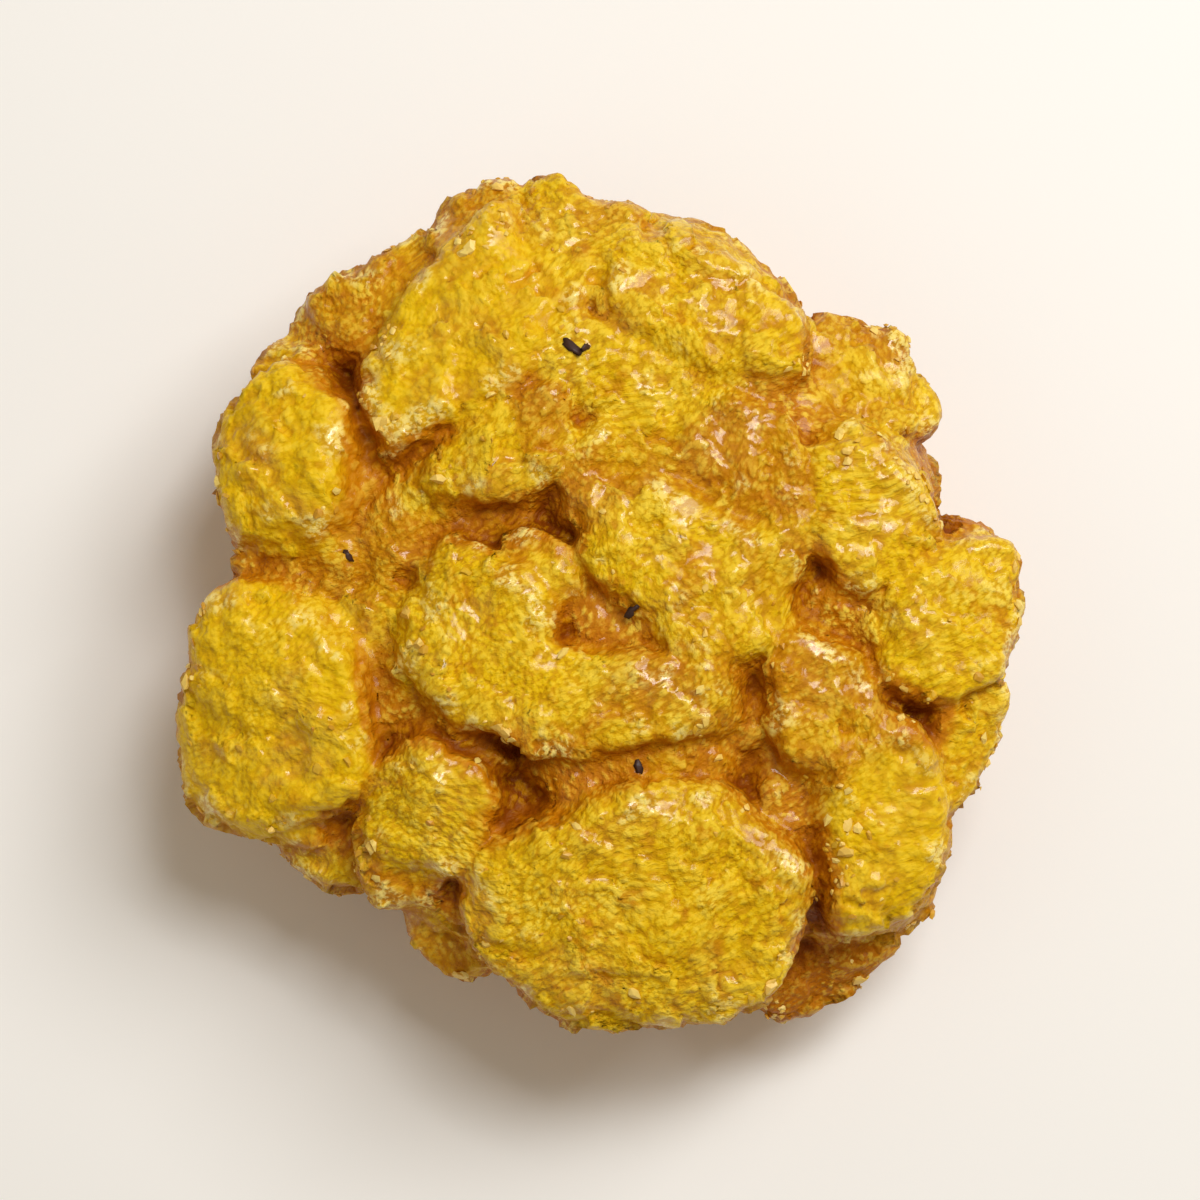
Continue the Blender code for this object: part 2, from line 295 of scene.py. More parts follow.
class ShaderGraph:
    """A material's nodes, round the one shader that a new material has."""

    def __init__(self, name: str) -> None:
        """Starts a material of that name."""
        self.material = bpy.data.materials.new(name)
        self.material.use_nodes = True
        self.nodes = self.material.node_tree.nodes
        self.shader = self.nodes["Principled BSDF"]

    def node(
        self,
        kind: str,
        settings: Mapping[str, object] | None = None,
        sockets: Mapping[int | str, object] | None = None,
    ) -> bpy.types.Node:
        """Adds one node.

        Args:
            kind: The node's type.
            settings: What is set on the node itself, before its sockets.
            sockets: What goes into each input: a signal, an output socket or a plain value.

        Returns:
            The node.
        """
        made = self.nodes.new(kind)
        for name, value in (settings or {}).items():
            setattr(made, name, value)
        for key, value in (sockets or {}).items():
            self.feed(made.inputs[key], value)
        return made

    def feed(self, target: Socket, value: object) -> None:
        """Links a signal or an output socket to an input, or sets it to a plain value."""
        if isinstance(value, Signal):
            value = value.socket
        if isinstance(value, Socket):
            self.material.node_tree.links.new(value, target)
        else:
            target.default_value = value

    def signal(self, node: bpy.types.Node, output: str) -> Signal:
        """One output of a node as a signal."""
        return Signal(self, node.outputs[output])

    def attribute(self, name: str) -> Signal:
        """A number stored on the mesh's points."""
        return self.signal(self.node("ShaderNodeAttribute", {"attribute_name": name}), "Fac")

    def swirled(self, vector: Socket, size: float, reach: float) -> Socket:
        """A vector carried about by soft swirls of a size, each as far as the reach."""
        pattern = {"Vector": vector, "Scale": 1 / size, "Detail": 0.0}
        swirls = self.node("ShaderNodeTexNoise", None, pattern).outputs["Color"]
        sockets = {0: swirls, 1: (reach,) * 3, 2: vector}
        return self.node("ShaderNodeVectorMath", {"operation": "MULTIPLY_ADD"}, sockets).outputs[0]

    def turned(self, vector: Socket, angle: float) -> Socket:
        """A vector turned about the upright axis."""
        sockets = {"Vector": vector, "Angle": angle}
        return self.node("ShaderNodeVectorRotate", {"rotation_type": "Z_AXIS"}, sockets).outputs["Vector"]

    def stretched(self, vector: Socket, scale: tuple[float, float, float]) -> Socket:
        """A vector scaled along its three axes."""
        sockets = {0: vector, 1: scale}
        return self.node("ShaderNodeVectorMath", {"operation": "MULTIPLY"}, sockets).outputs[0]

    def place(self) -> Socket:
        """Where each point lies on its own object, in millimetres."""
        return self.stretched(self.node("ShaderNodeTexCoord").outputs["Object"], (1 / MM,) * 3)

    def cells(self, vector: Socket, width: float) -> Signal:
        """How far each place is from the middle of its cell, with cells of that width."""
        sockets = {"Vector": vector, "Scale": 1 / width}
        return self.signal(self.node("ShaderNodeTexVoronoi", {"feature": "F1"}, sockets), "Distance")

    def noise(self, vector: Socket, width: float, detail: float, roughness: float = 0.5) -> Signal:
        """Cloudy noise with features of that width."""
        sockets = {"Vector": vector, "Scale": 1 / width, "Detail": detail, "Roughness": roughness}
        return self.signal(self.node("ShaderNodeTexNoise", None, sockets), "Fac")

    def mixed(self, factor: Signal | float, first: object, second: object) -> Socket:
        """Two colours mixed: the first at factor 0 and the second at 1."""
        settings = {"data_type": "RGBA", "clamp_factor": True}
        sockets = {MIX_FACTOR: factor, MIX_FIRST: first, MIX_SECOND: second}
        return self.node("ShaderNodeMix", settings, sockets).outputs[MIX_RESULT]

    def bump(
        self, height: Signal, depth: float, strength: float = 1.0, over: Socket | None = None
    ) -> Socket:
        """A normal that stands for a small relief.

        Args:
            height: The relief, 0 to 1.
            depth: What a height of 1 stands for, in millimetres.
            strength: How much of it shows.
            over: The normal that it adds to, or None for the surface's own.

        Returns:
            The normal's socket.
        """
        sockets = {"Height": height, "Distance": depth * MM, "Strength": strength}
        if over is not None:
            sockets["Normal"] = over
        return self.node("ShaderNodeBump", None, sockets).outputs["Normal"]

    def finish_with(self, sockets: Mapping[str, object]) -> bpy.types.Material:
        """Feeds the shader's named sockets and returns the material."""
        for name, value in sockets.items():
            self.feed(self.shader.inputs[name], value)
        return self.material


class DoughPatterns:
    """The patterns that the dough's colour, relief and gloss share, each about 0 to 1."""

    def __init__(self, graph: ShaderGraph, finish: "DoughFinish") -> None:
        """Makes all patterns, from the skin's own attributes and from noise."""
        place = graph.place()
        self.relief = graph.attribute("relief")
        self.tint = graph.attribute("tint")
        self.halo_shade = graph.attribute("halo_shade")
        self.side_crust_and_shade = graph.attribute("side_crust_and_shade")
        self.clouds = graph.noise(place, finish.cloud_width, detail=3.0)
        self.mottles = graph.noise(place, finish.mottle_width, detail=3.0, roughness=0.6)
        # Patches that hold the painted glints and the paler crests.
        self.glint_clouds = graph.noise(place, finish.glint_width, detail=2.0)
        self.grit = graph.noise(place, finish.grit_width, detail=2.0, roughness=0.6)
        self.sugary = finish.grain(graph, place)
        self.rough_skin = graph.attribute("smooth").left(finish.smooth_share)
        blotches = graph.noise(place, finish.blotch_width, detail=4.0, roughness=0.65)
        self.uneven = (blotches - 0.5) * finish.unevenness
        # Painted shade: flanks and dough near creases join the crease mask.
        halo_darkening = self.halo_shade.step(*finish.halo_darkening_step)
        self.crease = graph.attribute("crease") + self.uneven + halo_darkening
        # Where the creases take their own orange-brown with painted shade.
        self.glazed_and_shaded = self.crease.step(*finish.glaze_and_shade_step)
        # Painted glints: cream patches on the rims, none in the creases and fewer on the sides.
        painted_glint = graph.attribute("rim") * self.glint_clouds.step(*finish.glint_step) * (1.0 - self.glazed_and_shaded)
        self.painted_glint_cover = painted_glint * self.side_crust_and_shade.left(finish.glint_side_share)


@dataclass(frozen=True)
class DoughFinish:
    """Golden fried dough: gritty and yellow on puffs, glazing's orange-brown with painted shade in
    creases.

    A width is the size of a pattern's features in millimetres. A step is where a pattern starts to
    show and where it is full, and how full that is if it isn't 1. A share is how much of one
    pattern another one takes up or takes away.
    """

    yellow: Colour = srgb(236, 192, 6)
    golden: Colour = srgb(208, 143, 3)
    toasted: Colour = srgb(172, 94, 1)
    pale: Colour = srgb(253, 222, 78)
    # Cream of the painted glints.
    painted_glint: Colour = srgb(255, 233, 140)
    # Honey serves the mottles, and the painted shade on flanks and near creases.
    honey: Colour = srgb(202, 124, 3)
    # Brown of the browner sides: toasted crust with painted shade.
    brown: Colour = srgb(190, 112, 4)
    # Orange-brown of the creases: the glazing's own colour with painted shade.
    glaze_and_shade: Colour = srgb(180, 104, 2)
    # Painted shade, darkest in the deepest creases.
    deep_shade: Colour = srgb(124, 54, 2)
    oil_tint: Colour = (1.0, 0.85, 0.45, 1.0)

    grain_length: float = 0.56
    grain_width: float = 0.27
    grain_turn_deg: float = -35.0
    granule_width: float = 0.42
    grit_width: float = 0.2
    swirl_width: float = 7.0
    swirl_reach: float = 4.0
    cloud_width: float = 3.2
    mottle_width: float = 1.9
    # Width of the patches that hold the painted glints.
    glint_width: float = 2.6
    blotch_width: float = 1.2

    unevenness: float = 0.8
    # How much painted flank shade joins the crease mask, and where crease colour with painted shade
    # shows.
    halo_darkening_step: Step = (0.55, 1.15, 0.35)
    glaze_and_shade_step: Step = (0.24, 0.62)
    smooth_share: float = 0.35
    granule_share: float = 0.38

    warm_weights: tuple[float, float, float, float] = (0.7, 0.5, 0.2, 0.4)
    warm_step: Step = (0.3, 0.75)
    mottle_step: Step = (0.52, 0.7, 0.6)
    # Where painted shade shows on flanks and near creases, the crust with painted shade on the sides, and
    # painted shade darkest in the creases.
    halo_step: Step = (0.12, 0.65, 0.9)
    belt_unevenness: float = 0.8
    belt_step: Step = (0.2, 1.0, 0.8)
    deep_step: Step = (0.55, 0.95, 0.85)

    ridge_step: Step = (0.46, 0.62)
    ridge_relief_share: float = 0.15
    crest_step: Step = (0.5, 0.66, 0.4)
    least_crest: float = 0.3
    pit_step: Step = (0.45, 0.62, 0.5)
    pit_relief_share: float = 0.4
    # Where the painted glints show, how much the sides take from them, and their fine specks.
    glint_step: Step = (0.52, 0.62)
    glint_side_share: float = 0.85
    glint_speck_step: Step = (0.44, 0.56, 0.75)
    glint_speck_grit_share: float = 0.4

    lump_depth: float = 0.5
    lump_glaze_share: float = 0.5
    grain_depth: float = 0.26
    grain_grit_share: float = 0.2

    roughness: float = 0.42
    glaze_smoothing: float = 0.06
    grit_roughness: float = 0.1
    shiny_step: Step = (0.46, 0.58, 0.5)
    sparkle_share: float = 0.5
    least_shine: float = 0.12
    dull_halo_share: float = 0.7
    dull_belt_share: float = 0.5
    dull_glaze_share: float = 0.7

    def grain(self, graph: ShaderGraph, place: Socket) -> Signal:
        """Short strokes that lie along gentle swirls, broken up by round granules."""
        turned = graph.turned(place, math.radians(self.grain_turn_deg))
        along = graph.swirled(turned, self.swirl_width, self.swirl_reach)
        fineness = (1 / self.grain_length, 1 / self.grain_width, 1 / self.grain_width)
        strokes = graph.noise(graph.stretched(along, fineness), 1.0, detail=3.0, roughness=0.65)
        return strokes.blended(1.0 - graph.cells(along, self.granule_width), self.granule_share)

    def broad_colour(self, graph: ShaderGraph, on: DoughPatterns) -> Socket:
        """Yellow puffs turning honey and brown to creases and sides: glazing, crust and painted shade."""
        # Warmth also leans golden in the painted shade of flanks and near creases.
        cloud, tint, relief, halo_shade = self.warm_weights
        warmth = on.clouds * cloud + on.tint * tint - on.relief * relief + on.halo_shade * halo_shade
        ragged_belt = on.side_crust_and_shade + on.uneven * self.belt_unevenness
        surface = graph.mixed(warmth.step(*self.warm_step), self.yellow, self.golden)
        layers = (
            (on.mottles.step(*self.mottle_step) * on.rough_skin, self.honey),
            # Painted shade on flanks and near creases.
            ((on.halo_shade + on.uneven).step(*self.halo_step), self.honey),
            # Toasted crust with painted shade, low on the sides and on steep outer walls.
            (ragged_belt.step(*self.belt_step), self.brown),
            # The creases' own orange-brown with painted shade.
            (on.glazed_and_shaded, self.glaze_and_shade),
            # Painted shade, darkest in the deepest creases.
            (on.crease.step(*self.deep_step), self.deep_shade),
        )
        for cover, colour in layers:
            surface = graph.mixed(cover, surface, colour)
        return surface

    def grained_colour(self, graph: ShaderGraph, on: DoughPatterns) -> Socket:
        """The broad colour with paler crests, darker pits and painted cream glints at the rims."""
        ridges = on.sugary.blended(on.relief, self.ridge_relief_share).step(*self.ridge_step)
        crested = ridges * (on.glint_clouds.step(*self.crest_step) + self.least_crest)
        pitted = (1.0 - on.sugary).step(*self.pit_step) * on.relief.left(self.pit_relief_share)
        glint_specks = on.sugary.blended(on.grit, self.glint_speck_grit_share).step(*self.glint_speck_step)
        layers = (
            (crested * on.rough_skin, graph.mixed(on.glazed_and_shaded, self.pale, self.golden)),
            # Pits, which in the creases take the colour of the painted shade.
            (pitted * on.rough_skin, graph.mixed(on.glazed_and_shaded, self.toasted, self.deep_shade)),
            # Painted glints: cream specks on the rims.
            (glint_specks * on.painted_glint_cover, self.painted_glint),
        )
        surface = self.broad_colour(graph, on)
        for cover, colour in layers:
            surface = graph.mixed(cover, surface, colour)
        return surface

    def normal(self, graph: ShaderGraph, on: DoughPatterns) -> Socket:
        """Shallow lumps with the grain and its grit on them."""
        height = on.rough_skin * on.sugary.blended(on.grit, self.grain_grit_share)
        lumpy = on.mottles * on.glazed_and_shaded.left(self.lump_glaze_share)
        lumps = graph.bump(lumpy, self.lump_depth)
        return graph.bump(height, self.grain_depth, over=lumps)

    def oil(self, on: DoughPatterns) -> Signal:
        """How much frying oil lies on the dough: in patches, less towards creases and sides."""
        patches = on.clouds.step(*self.shiny_step)
        shine = patches + on.painted_glint_cover * self.sparkle_share + self.least_shine
        open_dough = on.halo_shade.left(self.dull_halo_share) * on.side_crust_and_shade.left(self.dull_belt_share)
        return shine * open_dough * on.glazed_and_shaded.left(self.dull_glaze_share)

    def material(self) -> bpy.types.Material:
        """Builds the finish's nodes."""
        graph = ShaderGraph("fried_dough")
        on = DoughPatterns(graph, self)
        smoother = on.glazed_and_shaded * self.glaze_smoothing
        return graph.finish_with(
            {
                "Base Color": self.grained_colour(graph, on),
                "Roughness": self.roughness - smoother + on.grit * self.grit_roughness,
                "Normal": self.normal(graph, on),
                "IOR": 1.47,
                "Specular IOR Level": 0.2,
                "Specular Tint": self.oil_tint,
                "Coat Weight": self.oil(on),
                "Coat Roughness": 0.12,
            }
        )


@dataclass(frozen=True)
class CrumbFinish:
    """Small bits stuck to the dough, each a little lighter or darker than the next."""

    name: str
    light: Colour
    dark: Colour
    roughness: float
    mottle_width: float = 0.3
    mottle_share: float = 0.3
    mottle_roughness: float = 0.15
    depth: float = 0.04

    def material(self) -> bpy.types.Material:
        """Builds the finish's nodes."""
        graph = ShaderGraph(self.name)
        mottle = graph.noise(graph.place(), self.mottle_width, detail=2.0)
        darkness = graph.attribute("tint").blended(mottle, self.mottle_share)
        return graph.finish_with(
            {
                "Base Color": graph.mixed(darkness, self.light, self.dark),
                "Roughness": self.roughness + mottle * self.mottle_roughness,
                "Normal": graph.bump(mottle, self.depth, strength=0.8),
                "Coat Weight": 0.2,
                "Coat Roughness": 0.25,
            }
        )


@dataclass(frozen=True)
class FloorFinish:
    """A plain pale sheet, just off white."""

    colour: Colour = srgb(252, 251, 249)
    shade: Colour = srgb(247, 246, 243)
    roughness: float = 0.6
    cloud_width: float = 50.0

    def material(self) -> bpy.types.Material:
        """Builds the finish's nodes."""
        graph = ShaderGraph("pale_floor")
        clouds = graph.noise(graph.place(), self.cloud_width, detail=2.0)
        colour = graph.mixed(clouds, self.colour, self.shade)
        return graph.finish_with({"Base Color": colour, "Roughness": self.roughness})


class Crumbs(Enum):
    """The kinds of small bits that cling to the dough."""

    PALE = CrumbFinish("pale_crumb", srgb(248, 222, 120), srgb(232, 184, 70), roughness=0.45)
    GOLDEN = CrumbFinish("golden_crumb", srgb(228, 186, 40), srgb(200, 136, 16), roughness=0.4)
    BURNT = CrumbFinish("burnt_speck", srgb(84, 38, 12), srgb(34, 14, 8), roughness=0.6)


@dataclass(frozen=True)
class PuffShape:
    """How a puff departs from a plain ball: how boxy it is, and its flat places."""

    upper_boxiness: float = 3.2
    lower_boxiness: float = 2.5
    facets: int = 8
    facet_swing: float = 0.3
    facet_rises: Range = (-0.45, 0.55)
    facet_offsets: Range = (0.8, 0.98)
    facet_sharpness: float = 14.0
    top_facet_offset: float = 0.84


@dataclass(frozen=True)
class Puff:
    """One puff of dough: a soft lump with flat places, given by its middle, sizes and turns."""

    middle: Vector
    size: Vector
    turn: float = 0.0
    lean: float = 0.0
    lean_towards: float = 0.0
    upper: bool = False
    shape: PuffShape = PuffShape()

    def facets(self, draw: random.Random) -> list[tuple[Vector, float]]:
        """Flat places as directions with their distance from the middle of a unit ball."""
        shape = self.shape
        found = []
        if self.upper:
            found.append((Vector((0, 0, 1)), shape.top_facet_offset))
        start = draw.uniform(0, math.tau)
        for number in range(shape.facets):
            swing = draw.uniform(-shape.facet_swing, shape.facet_swing)
            around = start + math.tau * (number + swing) / shape.facets
            rise = draw.uniform(*shape.facet_rises)
            direction = polar(around, 1.0, rise).normalized()
            found.append((direction, draw.uniform(*shape.facet_offsets)))
        return found

    def matrix(self) -> Matrix:
        """Places the unit ball: sized, turned, leant over and moved to the middle."""
        lean_axis = Vector((-math.sin(self.lean_towards), math.cos(self.lean_towards), 0))
        return (
            Matrix.Translation(self.middle)
            @ Matrix.Rotation(self.lean, 4, lean_axis)
            @ Matrix.Rotation(self.turn, 4, "Z")
            @ Matrix.Diagonal((*(self.size / 2), 1))
        )

    def lump(self, directions: np.ndarray, draw: random.Random) -> np.ndarray:
        """The puff's own points, one for each direction of a unit ball."""
        boxiness = self.shape.upper_boxiness if self.upper else self.shape.lower_boxiness
        sharpness = self.shape.facet_sharpness
        boxy = (np.abs(directions) ** boxiness).sum(axis=1) ** (1 / boxiness)
        total = boxy**sharpness
        for normal, offset in self.facets(draw):
            facing = np.clip(directions @ np.array(normal) / offset, 0, None)
            total += facing**sharpness
        ball = directions * (total ** (-1 / sharpness))[:, None]
        placed = np.array(self.matrix())
        return ball @ placed[:3, :3].T + placed[:3, 3]

    def local(self, points: np.ndarray) -> np.ndarray:
        """Points as seen from the puff: its skin lies at about one unit from the middle."""
        inverse = np.array(self.matrix().inverted())
        return points @ inverse[:3, :3].T + inverse[:3, 3]


@dataclass
class CrackerForm:
    """The form of the model's solid, by the same rules and sizes."""

    breadth: float = 46.0
    thickness: float = 17.0
    core_thickness: float = 11.6
    core_breadth: float = 39.0
    crest_margin: float = 0.5
    dome_drop: float = 4.0
    dome_power: float = 2.4
    rim_lean_deg: float = 30.0
    foot_depth: float = 0.3
    spread: float = 1.16
    warps: tuple[Range, ...] = ((8.0, 0.75), (3.0, 0.32), (1.5, 0.24))
    seed: int = 20
    drift_seed: int = 3
    upper_depth_base: float = 2.0
    upper_depth_share: float = 0.78
    upper_depth_least: float = 5.5
    side_count: int = 15
    side_size: tuple[float, float, float] = (8.6, 6.8, 8.4)
    side_size_range: Range = (0.85, 1.15)
    side_heights: Range = (7.5, 9.5)
    side_swing: float = 0.18
    side_tuck: float = 0.7
    under_size_range: Range = (0.88, 1.16)
    under_lifts: Range = (0.0, 0.5)
    under_swing: float = 0.25
    upper_ball_levels: int = 5
    lower_ball_levels: int = 4
    shape: PuffShape = PuffShape()
    puffs: list[Puff] = field(init=False)

    def __post_init__(self) -> None:
        """Lays out all puffs, the core first, and makes the drift the same in each run."""
        noise.seed_set(self.drift_seed)
        draw = random.Random(self.seed)
        upper = self.upper_puffs()
        core_size = Vector((self.core_breadth, self.core_breadth, self.core_thickness))
        core = Puff(Vector((0, 0, self.thickness / 2)), core_size, upper=True, shape=self.shape)
        side = self.side_puffs(upper, draw)
        under = self.under_puffs(upper, draw)
        self.puffs = [core, *upper, *side, *under]

    def upper_puffs(self) -> list[Puff]:
        """The puffs of the upper face, leaning outwards towards the rim as the face domes."""
        puffs = []
        for _, x, y, length, width, turn, rise in UPPER_PUFFS:
            out = math.hypot(x, y) / (self.breadth / 2)
            depth = self.upper_depth_base + self.upper_depth_share * width
            depth = max(self.upper_depth_least, depth)
            dome = self.dome_drop * out**self.dome_power
            crest = self.thickness - self.crest_margin - dome + rise
            middle = Vector((x, y, crest - depth * self.shape.top_facet_offset / 2))
            lean = math.radians(self.rim_lean_deg) * out**2
            size = Vector((self.spread * length, self.spread * width, depth))
            outwards = math.atan2(y, x)
            puffs.append(Puff(middle, size, math.radians(turn), lean, outwards, True, self.shape))
        return puffs

    def reach(self, around: float, puffs: Sequence[Puff]) -> float:
        """How far the upper puffs reach from the middle in one direction, taken as ellipses."""
        farthest = self.core_breadth / 2
        for puff in puffs:
            turned = around - puff.turn
            half_length, half_width = puff.size.x / 2, puff.size.y / 2
            along = math.hypot(half_length * math.cos(turned), half_width * math.sin(turned))
            centre = Vector((puff.middle.x, puff.middle.y))
            heading = Vector((math.cos(around), math.sin(around)))
            aside = abs(centre.x * heading.y - centre.y * heading.x)
            if aside < along:
                farthest = max(farthest, centre.dot(heading) + math.sqrt(along**2 - aside**2))
        return farthest

    def side_puffs(self, upper: Sequence[Puff], draw: random.Random) -> list[Puff]:
        """A belt of puffs at half height, tucked in just under the rim of the upper ones."""
        puffs = []
        for number in range(self.side_count):
            swing = draw.uniform(-self.side_swing, self.side_swing)
            around = math.tau * (number + swing) / self.side_count
            size = Vector(self.side_size) * draw.uniform(*self.side_size_range)
            out = self.reach(around, upper) - self.side_tuck - size.y / 2
            height = draw.uniform(*self.side_heights)
            middle = polar(around, out, height)
            puffs.append(Puff(middle, size, around + math.pi / 2, shape=self.shape))
        return puffs

    def under_puffs(self, upper: Sequence[Puff], draw: random.Random) -> list[Puff]:
        """Rings of puffs on the underside, the outer ring lowest, so that it is what rests."""
        puffs = []
        for count, share, length, width, depth, off_floor in UNDER_RINGS:
            for number in range(count):
                swing = draw.uniform(-self.under_swing, self.under_swing)
                around = math.tau * (number + swing) / count
                out = share * self.reach(around, upper)
                size = Vector((length, width, depth)) * draw.uniform(*self.under_size_range)
                foot = off_floor - self.foot_depth + draw.uniform(*self.under_lifts)
                middle = polar(around, out, foot + size.z / 2)
                puffs.append(Puff(middle, size, draw.uniform(0, math.pi), shape=self.shape))
        return puffs

    def drift(self, points: np.ndarray) -> np.ndarray:
        """How far the dough's uneven setting moves each point."""
        moved = np.zeros_like(points)
        for spacing, amount in self.warps:
            moved += amount * np.array([noise.noise_vector(Vector(p)) for p in points / spacing])
        return moved

    def lumps(self) -> tuple[np.ndarray, np.ndarray]:
        """All puffs, still overlapping, as points and triangles."""
        points, triangles, count = [], [], 0
        balls = {True: unit_ball(self.upper_ball_levels), False: unit_ball(self.lower_ball_levels)}
        for number, puff in enumerate(self.puffs):
            directions, faces = balls[puff.upper]
            lump = puff.lump(directions, random.Random(self.seed + number))
            points.append(lump)
            triangles.append(faces + count)
            count += len(lump)
        together = np.concatenate(points)
        return together + self.drift(together), np.concatenate(triangles)


@dataclass
class SkinPoints:
    """What the colours and the crumbs need to know of each point of the skin, mostly 0 to 1.

    Attributes:
        points: Places, in millimetres.
        normals: Unit normals.
        crease: How far into a crease a point lies; it sets the creases' colour and painted shade.
        rim: How far it stands out at a puff's rim.
        tint: How golden its puff is.
        halo_shade: How near it is to creases and on the flank of a puff: painted shade.
        side_crust_and_shade: How far it is on the browner side of the cracker: toasted crust with painted
            shade.
        smooth: How smooth its puff came out.
        relief: How high it stands in the fine relief.
    """

    points: np.ndarray
    normals: np.ndarray
    crease: np.ndarray
    rim: np.ndarray
    tint: np.ndarray
    halo_shade: np.ndarray
    side_crust_and_shade: np.ndarray
    smooth: np.ndarray
    relief: np.ndarray = field(default_factory=lambda: np.zeros(0))


@dataclass
class CrackerSkin:
    """The fine skin that stands for the model's solid.

    A blur is the number of rounds in which values are averaged with their neighbours'.
    """

    form: CrackerForm
    finish: DoughFinish
    voxel: float = 0.28
    soften_rounds: int = 4
    soften_factor: float = 0.5
    seed: int = 5

    flake_size: float = 2.1
    flake_tilt: float = 0.18
    flake_step: float = 0.1
    flake_middle: float = 0.5
    flake_drift: float = 0.9
    flake_drift_share: float = 0.6
    flake_stride: float = 91.0
    crag_size: float = 1.5
    crag_depth: float = 0.1
    crag_pattern: tuple[float, float, int, float, float] = (0.8, 2.2, 3, 1.0, 2.0)
    crag_middle: float = 0.9
    blister_size: float = 0.95
    blister_depth: float = 0.16
    blister_middle: float = 0.5
    smooth_crease_step: Range = (0.1, 0.45)
    smooth_relief: float = 0.6
    relief_percentiles: Range = (3, 97)

    shade_rays: int = 14
    shade_reach: float = 4.0
    shade_lift: float = 0.05
    shade_blur: int = 6
    hollow_blur: int = 30
    broad_blur: int = 12
    puff_roundness: int = 3
    seam_width: float = 0.16
    seam_blur: int = 4
    crease_weights: tuple[float, float, float, float] = (1.35, 0.9, 0.12, 0.3)
    crease_blur: int = 2
    rim_step: Range = (0.02, 0.14)

    bright_tint: float = 0.3
    tint_blur: int = 8
    smooth_blur: int = 12
    # These set the painted shade on flanks and near creases, and the toasted crust with painted shade on
    # the browner sides.
    flank_step: Range = (0.2, 0.88)
    near_blur: int = 30
    wide_blur: int = 80
    wide_step: Range = (0.03, 0.16)
    halo_weights: tuple[float, float, float, float] = (0.6, 1.2, 0.35, 0.2)
    belt_top_step: Range = (7.5, 11.5)
    belt_foot_step: Range = (1.5, 5.0)
    belt_foot_share: float = 0.45
    wall_out_step: Range = (0.7, 0.92)
    wall_up_step: Range = (0.1, 0.6)
    wall_share: float = 0.85
    skin: SkinPoints = field(init=False)

    def fused(self) -> tuple[np.ndarray, np.ndarray]:
        """Fuses the puffs into fine triangles, and returns their points and triangles."""
        obj = put_in_scene("lumps", mesh_from_arrays("lumps", *self.form.lumps()))
        fuse = obj.modifiers.new("fuse", "REMESH")
        fuse.mode = "VOXEL"
        fuse.voxel_size = self.voxel * MM
        soften = obj.modifiers.new("soften", "SMOOTH")
        soften.factor = self.soften_factor
        soften.iterations = self.soften_rounds
        obj.modifiers.new("triangles", "TRIANGULATE")
        bpy.context.view_layer.update()
        graph = bpy.context.evaluated_depsgraph_get()
        fused = bpy.data.meshes.new_from_object(obj.evaluated_get(graph))
        points, triangles = mesh_arrays(fused)
        lumps = obj.data
        bpy.data.objects.remove(obj)
        bpy.data.meshes.remove(lumps)
        bpy.data.meshes.remove(fused)
        return points / MM, triangles

    @staticmethod
    def largest_shell(points: np.ndarray, triangles: np.ndarray) -> tuple[np.ndarray, np.ndarray]:
        """Drops the shells of bubbles that fusing seals inside the dough."""
        label = np.arange(len(points))
        while True:
            least = label[triangles].min(axis=1)
            before = label.copy()
            for corner in range(3):
                np.minimum.at(label, triangles[:, corner], least)
            label = label[label]
            if np.array_equal(before, label):
                break
        main = np.bincount(label).argmax()
        kept = label == main
        renumber = np.cumsum(kept) - 1
        return points[kept], renumber[triangles[kept[triangles[:, 0]]]]

    @staticmethod
    def normals(points: np.ndarray, triangles: np.ndarray) -> np.ndarray:
        """A unit normal for each point, weighted by the areas of its triangles."""
        corners = points[triangles]
        faces = np.cross(corners[:, 1] - corners[:, 0], corners[:, 2] - corners[:, 0])
        total = np.zeros_like(points)
        for corner in range(3):
            for axis in range(3):
                total[:, axis] += np.bincount(triangles[:, corner], faces[:, axis], len(points))
        return total / np.linalg.norm(total, axis=1)[:, None]

    @staticmethod
    def blurred(values: np.ndarray, triangles: np.ndarray, rounds: int) -> np.ndarray:
        """Values averaged with those of the neighbouring points, several times over."""
        columns = values.reshape(len(values), -1).copy()
        starts = triangles.ravel()
        ends = triangles[:, [1, 2, 0]].ravel()
        count = np.bincount(starts, minlength=len(values))[:, None]
        for _ in range(rounds):
            for axis in range(columns.shape[1]):
                around = np.bincount(starts, columns[ends, axis], len(values))
                columns[:, axis] = 0.5 * columns[:, axis] + 0.5 * around / count[:, 0]
        return columns.reshape(values.shape)

    def shade(self, points: np.ndarray, triangles: np.ndarray, normals: np.ndarray) -> np.ndarray:
        """How much of its sky each point has closed off by the dough around it, 0 to 1."""
        tree = BVHTree.FromPolygons(points.tolist(), triangles.tolist())
        golden_angle = math.pi * (3 - math.sqrt(5))
        shares = (np.arange(self.shade_rays) + 0.5) / self.shade_rays
        outs = np.sqrt(shares)
        turns = golden_angle * np.arange(self.shade_rays)
        pattern = np.stack([outs * np.cos(turns), outs * np.sin(turns), np.sqrt(1 - shares)], axis=1)
        aside = np.where(np.abs(normals[:, :1]) < 0.9, [[1.0, 0.0, 0.0]], [[0.0, 1.0, 0.0]])
        first = np.cross(normals, aside)
        first /= np.linalg.norm(first, axis=1)[:, None]
        second = np.cross(normals, first)
        closed = np.zeros(len(points))
        starts = [Vector(row) for row in points + self.shade_lift * normals]
        for across, along, up in pattern:
            rays = across * first + along * second + up * normals
            for number, (start, ray) in enumerate(zip(starts, rays)):
                distance = tree.ray_cast(start, Vector(ray), self.shade_reach)[3]
                if distance is not None:
                    closed[number] += 1 - distance / self.shade_reach
        return closed / self.shade_rays

